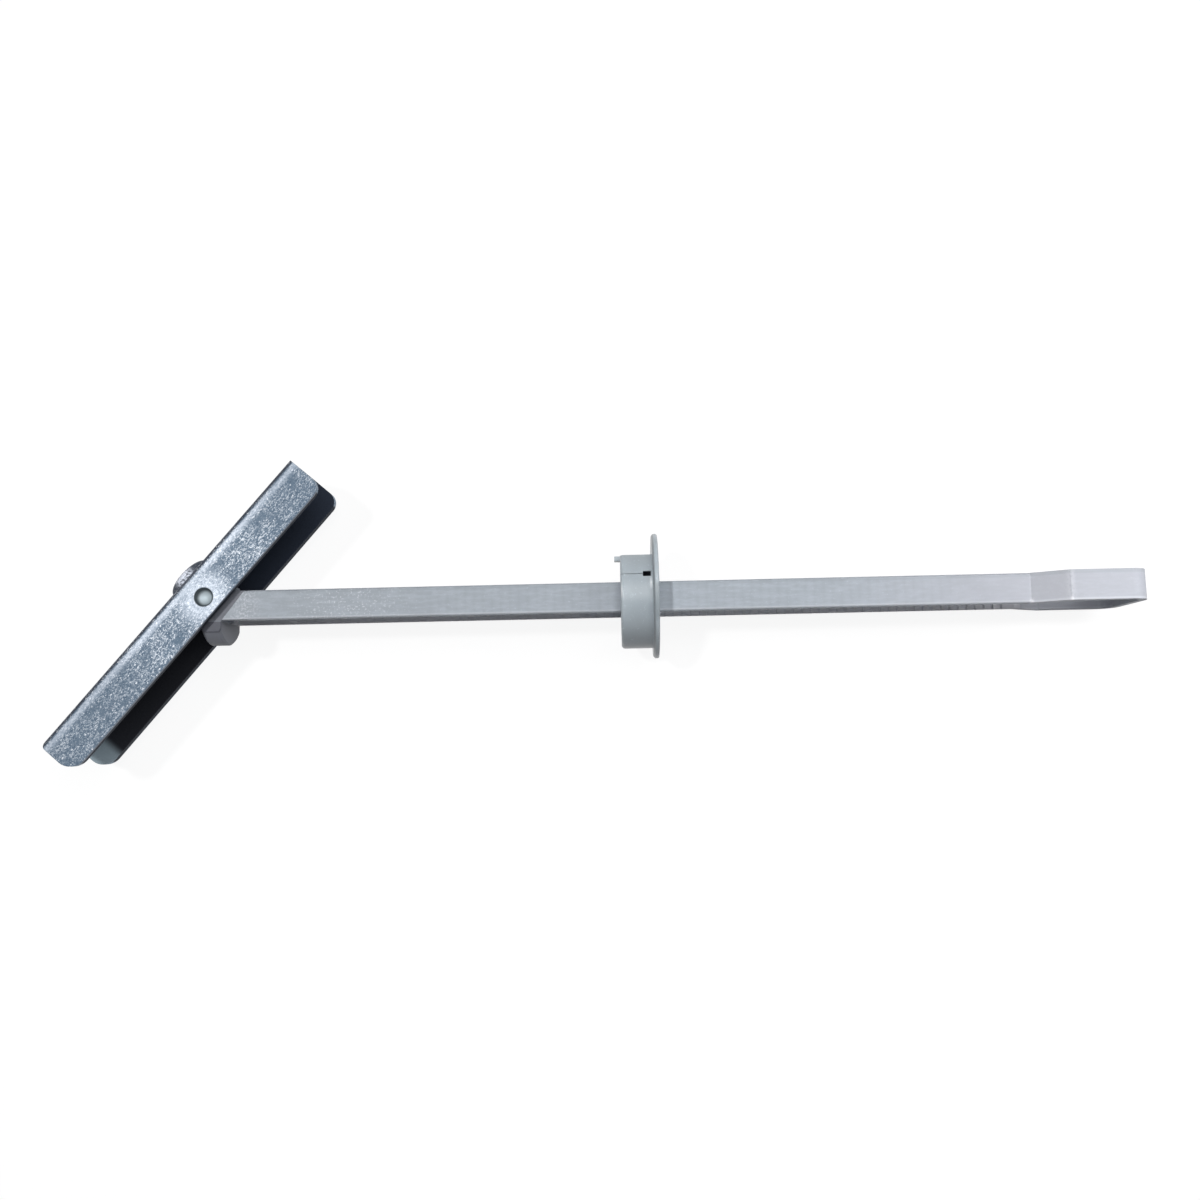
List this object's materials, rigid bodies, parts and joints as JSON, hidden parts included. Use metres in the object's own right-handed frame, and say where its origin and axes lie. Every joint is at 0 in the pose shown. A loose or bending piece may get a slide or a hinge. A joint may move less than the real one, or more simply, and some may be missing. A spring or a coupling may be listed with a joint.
{
  "type": "hollow wall anchor",
  "caption": "Strap-type anchor for hollow walls: a threaded folded steel channel hinged on toothed plastic straps, with a flanged cap that slides along them to the wall.",
  "frame": {"origin": "on the axis of the cap's collar, midway across the straps, in the wall-side face of the flange", "axes": "+X along the straps and the screw axis, away from the channel and out of the wall; +Z along the channel's hinge axis, up as the part lies; +Y completes the frame, towards the channel's short arm"},
  "size_m": [0.1525, 0.0425, 0.0178],
  "materials": {
    "zinc_steel": "bright zinc plate with fine crystal flecks",
    "strap_plastic": "natural uncoloured moulded plastic, milky",
    "cap_plastic": "natural uncoloured moulded plastic, smooth"
  },
  "bodies": {
    "straps": {"straps": "strap_plastic"},
    "channel": {"channel": "zinc_steel"},
    "cap": {"cap": "cap_plastic"}
  },
  "joints": [
    {"name": "channel_hinge", "type": "hinge", "parent": "straps", "child": "channel", "pos_m": [-0.0626, 0.0011, 0], "axis": [0, 0, 1], "range_deg": [-49.2, 50.8]},
    {"name": "cap_slide", "type": "slide", "parent": "straps", "child": "cap", "axis": [1, 0, 0], "range_m": [-0.0345, 0.05]}
  ]
}
